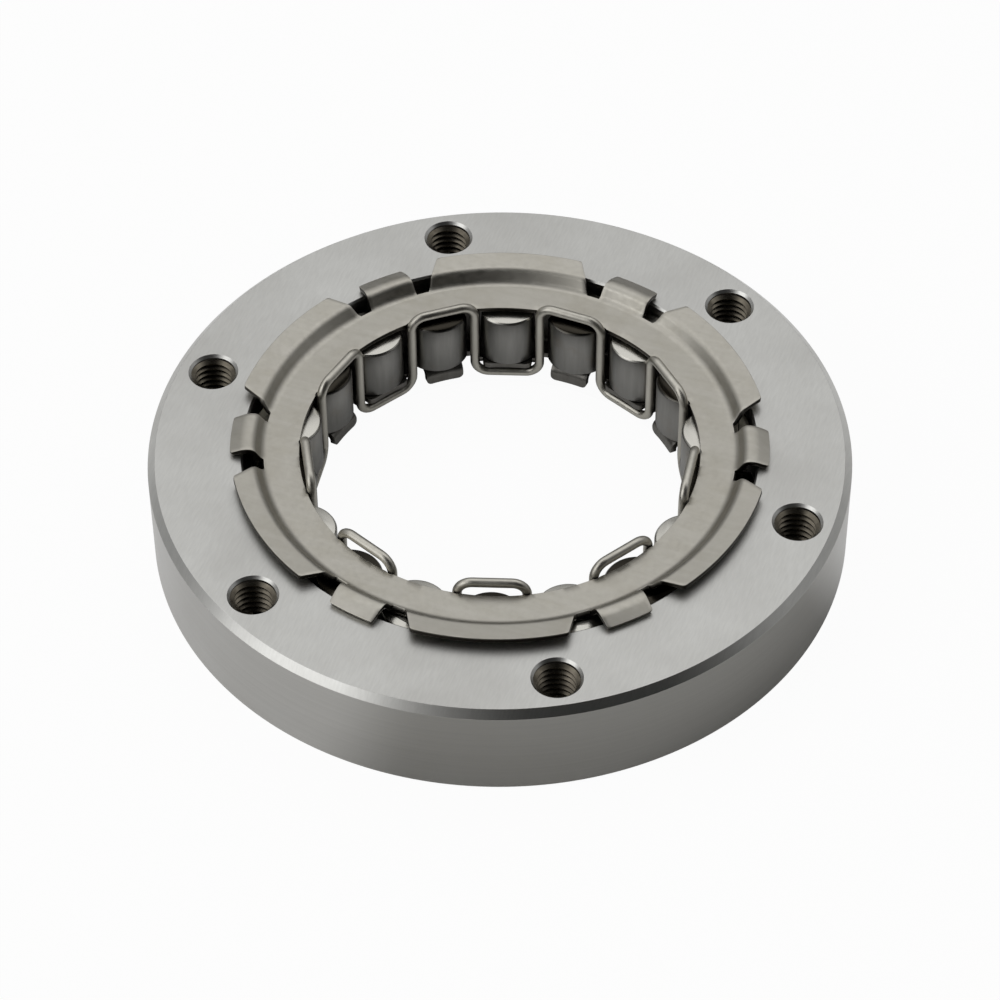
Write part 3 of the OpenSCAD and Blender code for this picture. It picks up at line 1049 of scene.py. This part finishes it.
# The room is a white tent, dimmer near the floor, overhead, low at the back and most of all on the
# camera's side, with one soft box to the left. Compass angles are turned by the shot's azimuth, and
# heights are in degrees
room = {
    "fill": 0.35, "low": 0.36, "high": 1.2, "lowFrom": 22.0, "lowTo": 54.0,
    "box": {"azimuth": 208.0, "height": 24.0, "inner": 19.0, "outer": 26.0, "gain": 1.1},
    "dark": {"azimuth": 297.0, "height": 40.0, "inner": 26.0, "outer": 56.0, "gain": 0.97},
    "above": {"azimuth": 270.0, "height": 74.0, "inner": 10.0, "outer": 27.0, "gain": 0.85},
    "back": {"azimuth": 88.0, "height": 8.0, "inner": 13.0, "outer": 31.0, "gain": 0.55},
}


def compass(azimuth, height):
    a = math.radians(azimuth + shot["azimuth"])
    h = math.radians(height)
    return (math.cos(a) * math.cos(h), math.sin(a) * math.cos(h), math.sin(h))


def patch(tree, towards, spot):
    # 0 outside a round patch of the room, rising softly to its gain inside it
    facing = addNode(tree, "ShaderNodeVectorMath", {
        0: towards, 1: compass(spot["azimuth"], spot["height"]),
    }, operation="DOT_PRODUCT")
    ranged = addNode(tree, "ShaderNodeMapRange", {
        "Value": facing.outputs["Value"], "From Min": math.cos(math.radians(spot["outer"])),
        "From Max": math.cos(math.radians(spot["inner"])), "To Min": 0.0, "To Max": spot["gain"],
    }, interpolation_type="SMOOTHSTEP")
    return ranged.outputs[0]


def makeRoom():
    s = room
    world = bpy.data.worlds.new("studioRoom")
    bpy.context.scene.world = world
    world.use_nodes = True
    tree = world.node_tree
    tree.nodes.clear()
    ray = addNode(tree, "ShaderNodeLightPath").outputs
    towards = addNode(tree, "ShaderNodeTexCoord").outputs["Generated"]
    height = addNode(tree, "ShaderNodeSeparateXYZ", {0: towards}).outputs[2]
    tent = addNode(tree, "ShaderNodeMapRange", {
        "Value": height, "From Min": math.sin(math.radians(s["lowFrom"])),
        "From Max": math.sin(math.radians(s["lowTo"])), "To Min": s["low"], "To Max": s["high"],
    }, interpolation_type="SMOOTHSTEP").outputs[0]
    studio = tent
    for dim in (s["dark"], s["above"], s["back"]):
        shade = calculate(tree, "SUBTRACT", 1.0, patch(tree, towards, dim))
        studio = calculate(tree, "MULTIPLY", studio, shade)
    studio = calculate(tree, "ADD", studio, patch(tree, towards, s["box"]))
    mirrored = calculate(tree, "MAXIMUM", ray["Is Glossy Ray"], ray["Is Transmission Ray"])
    metalSees = calculate(tree, "MULTIPLY", mirrored, studio)
    other = calculate(tree, "MULTIPLY", calculate(tree, "SUBTRACT", 1.0, mirrored), s["fill"])
    strength = calculate(tree, "ADD", metalSees, other)
    strength = calculate(tree, "MAXIMUM", strength, ray["Is Camera Ray"])
    glow = addNode(tree, "ShaderNodeBackground", {"Color": (1.0, 1.0, 1.0, 1.0), "Strength": strength})
    addNode(tree, "ShaderNodeOutputWorld", {0: glow.outputs[0]})


# Lamps light the floor: the metal sees the room's own soft box. Distance and size are in metres
lamps = {
    "softBox": {"azimuth": 205.0, "height": 40.0, "distance": 0.8, "size": 0.4, "watts": 1.2},
    "backTop": {"azimuth": 90.0, "height": 60.0, "distance": 0.8, "size": 0.5, "watts": 0.7},
}


def placeLamps():
    for name, s in lamps.items():
        data = bpy.data.lights.new(name, "AREA")
        data.shape = "SQUARE"
        data.size = s["size"]
        data.energy = s["watts"]
        lamp = bpy.data.objects.new(name, data)
        bpy.context.scene.collection.objects.link(lamp)
        lamp.location = Vector(compass(s["azimuth"], s["height"])) * s["distance"]
        lamp.rotation_euler = lamp.location.to_track_quat("Z", "Y").to_euler()
        lamp.visible_glossy = False


placeCamera()
makeFloor()
makeRoom()
placeLamps()
bpy.context.scene.view_settings.view_transform = "Standard"
print("studio lit")
